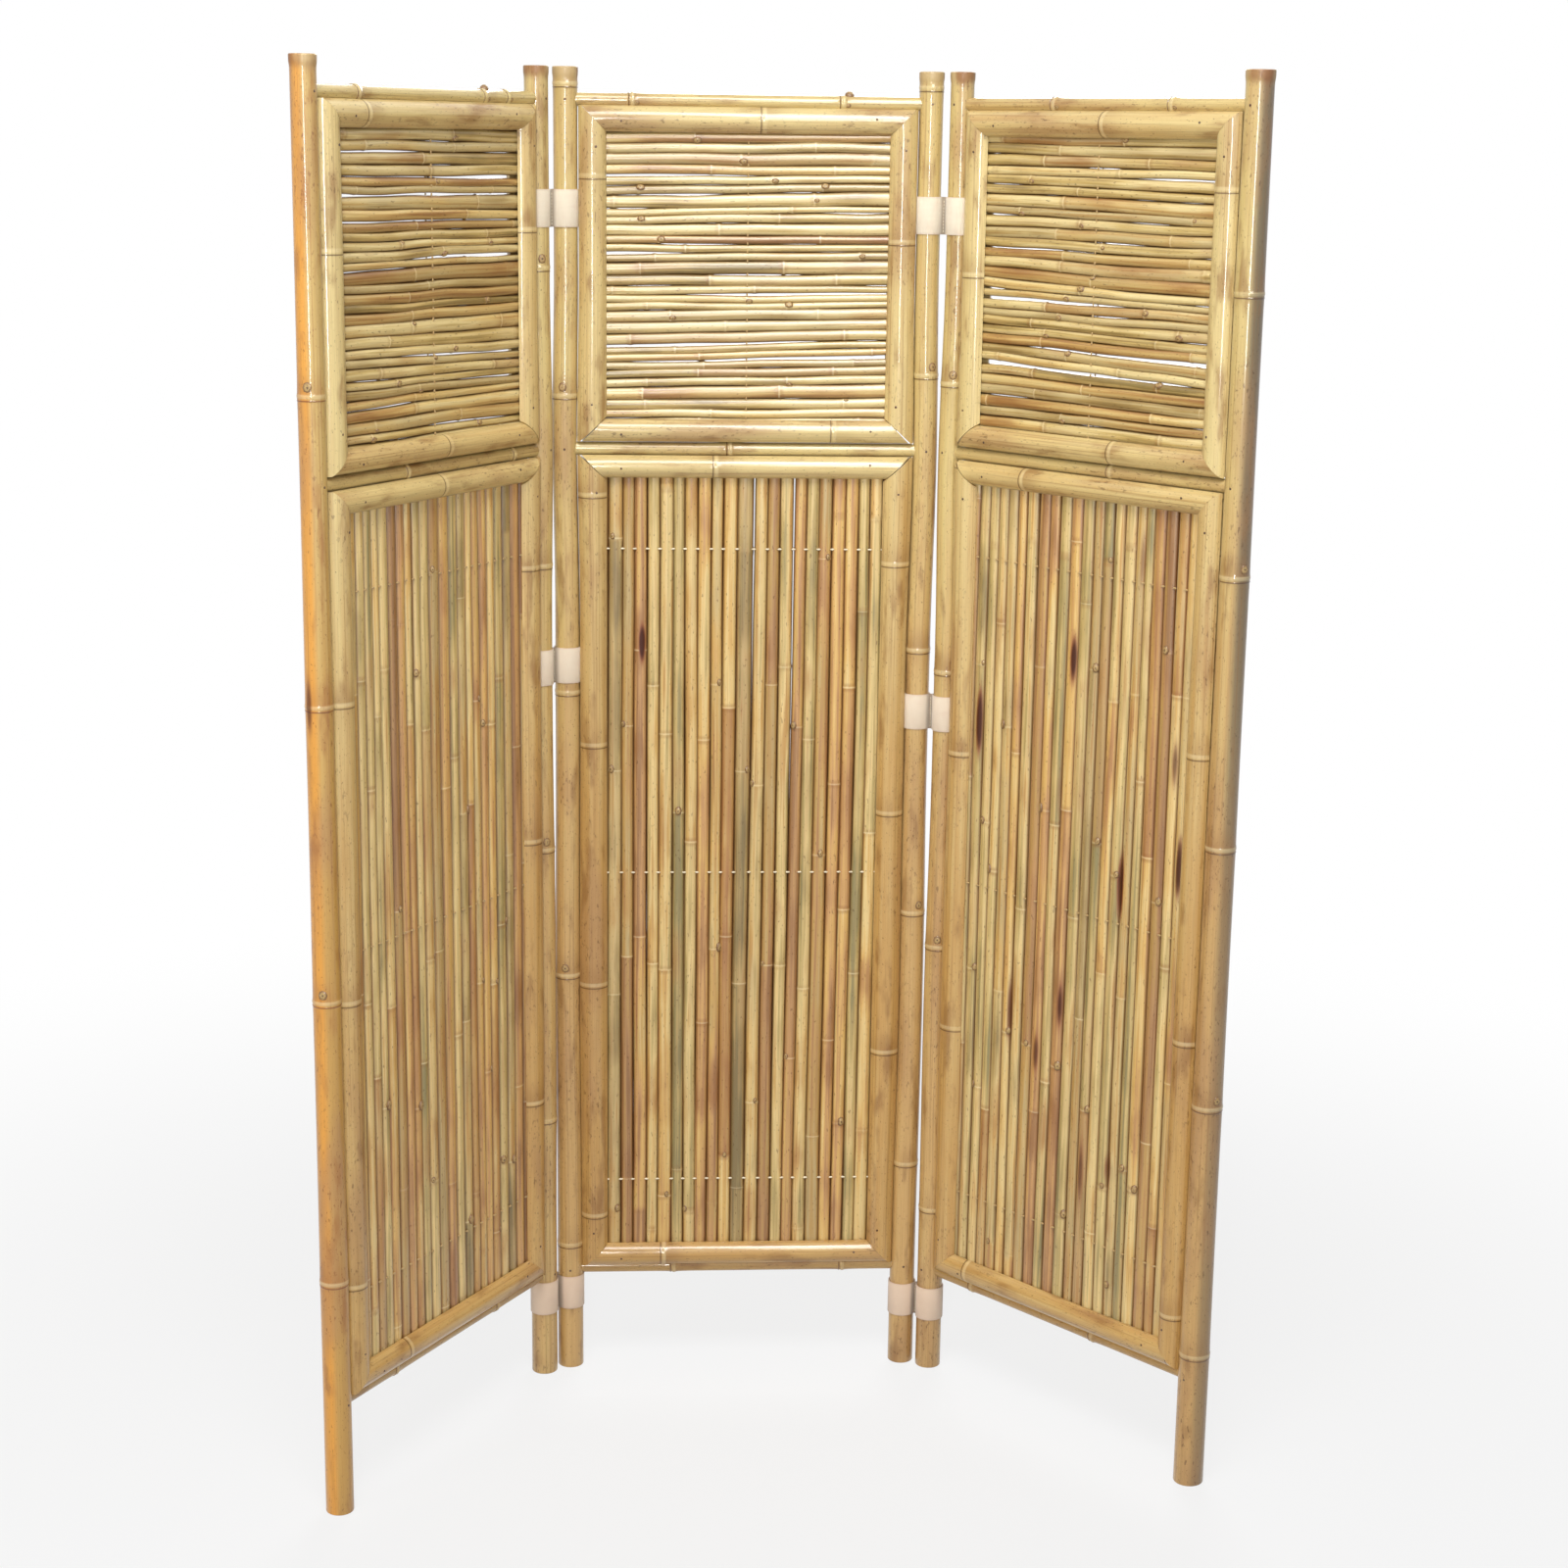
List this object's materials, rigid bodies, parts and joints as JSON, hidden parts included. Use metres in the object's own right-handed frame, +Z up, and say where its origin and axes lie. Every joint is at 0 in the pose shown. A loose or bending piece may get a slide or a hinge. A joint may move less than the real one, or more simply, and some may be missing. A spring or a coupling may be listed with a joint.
{
  "type": "bamboo folding screen",
  "caption": "Free-standing folding screen of bamboo leaves, each with a reed-filled window over a tall reed panel, hinged by webbing straps so that it folds flat.",
  "frame": {"origin": "floor level, under the middle of the outline that the standing screen covers at rest", "axes": "+Z up, +X to the right of a viewer in front of the screen, +Y to its back, so the outer leaves come forward to -Y"},
  "size_m": [1.1402, 0.4608, 1.8],
  "materials": {
    "golden_culm": "glossy natural bamboo skin",
    "straw_culm": "glossy natural bamboo skin",
    "rail_pole": "natural bamboo skin",
    "split_pole": "glossy split bamboo",
    "upper_reed": "satin reed",
    "lower_reed": "satin reed",
    "webbing": "woven cotton webbing"
  },
  "bodies": {
    "centre_leaf": {"centre_leaf_lower_mat": "lower_reed", "centre_leaf_lower_trim_bottom": "split_pole", "centre_leaf_lower_trim_left": "split_pole", "centre_leaf_lower_trim_right": "split_pole", "centre_leaf_lower_trim_top": "split_pole", "centre_leaf_post_left": "straw_culm", "centre_leaf_post_right": "straw_culm", "centre_leaf_rail_bottom": "rail_pole", "centre_leaf_rail_mid": "rail_pole", "centre_leaf_rail_top": "rail_pole", "centre_leaf_upper_mat": "upper_reed", "centre_leaf_upper_trim_bottom": "split_pole", "centre_leaf_upper_trim_left": "split_pole", "centre_leaf_upper_trim_right": "split_pole", "centre_leaf_upper_trim_top": "split_pole"},
    "left_hinge": {"left_strap_bottom": "webbing", "left_strap_middle": "webbing", "left_strap_top": "webbing"},
    "left_leaf": {"left_leaf_lower_mat": "lower_reed", "left_leaf_lower_trim_bottom": "split_pole", "left_leaf_lower_trim_inner": "split_pole", "left_leaf_lower_trim_outer": "split_pole", "left_leaf_lower_trim_top": "split_pole", "left_leaf_post_inner": "straw_culm", "left_leaf_post_outer": "golden_culm", "left_leaf_rail_bottom": "rail_pole", "left_leaf_rail_mid": "rail_pole", "left_leaf_rail_top": "rail_pole", "left_leaf_upper_mat": "upper_reed", "left_leaf_upper_trim_bottom": "split_pole", "left_leaf_upper_trim_inner": "split_pole", "left_leaf_upper_trim_outer": "split_pole", "left_leaf_upper_trim_top": "split_pole"},
    "right_hinge": {"right_strap_bottom": "webbing", "right_strap_middle": "webbing", "right_strap_top": "webbing"},
    "right_leaf": {"right_leaf_lower_mat": "lower_reed", "right_leaf_lower_trim_bottom": "split_pole", "right_leaf_lower_trim_inner": "split_pole", "right_leaf_lower_trim_outer": "split_pole", "right_leaf_lower_trim_top": "split_pole", "right_leaf_post_inner": "straw_culm", "right_leaf_post_outer": "straw_culm", "right_leaf_rail_bottom": "rail_pole", "right_leaf_rail_mid": "rail_pole", "right_leaf_rail_top": "rail_pole", "right_leaf_upper_mat": "upper_reed", "right_leaf_upper_trim_bottom": "split_pole", "right_leaf_upper_trim_inner": "split_pole", "right_leaf_upper_trim_outer": "split_pole", "right_leaf_upper_trim_top": "split_pole"}
  },
  "joints": [
    {"name": "left_straps_on_centre_post", "type": "hinge", "parent": "centre_leaf", "child": "left_hinge", "pos_m": [-0.26442, 0.20977, 0.9], "axis": [0, 0, 1], "range_deg": [-66.5, 58.5]},
    {"name": "left_leaf_on_straps", "type": "hinge", "parent": "left_hinge", "child": "left_leaf", "pos_m": [-0.30115, 0.18941, 0.9], "axis": [0, 0, 1], "range_deg": [-66.5, 58.5]},
    {"name": "right_straps_on_centre_post", "type": "hinge", "parent": "centre_leaf", "child": "right_hinge", "pos_m": [0.20958, 0.20977, 0.9], "axis": [0, 0, 1], "range_deg": [-12.5, 112.5]},
    {"name": "right_leaf_on_straps", "type": "hinge", "parent": "right_hinge", "child": "right_leaf", "pos_m": [0.24765, 0.19202, 0.9], "axis": [0, 0, 1], "range_deg": [-12.5, 112.5]}
  ],
  "couplings": [
    {"joint": "left_straps_on_centre_post", "follows": "left_leaf_on_straps", "ratio": 1},
    {"joint": "right_straps_on_centre_post", "follows": "right_leaf_on_straps", "ratio": 1}
  ]
}
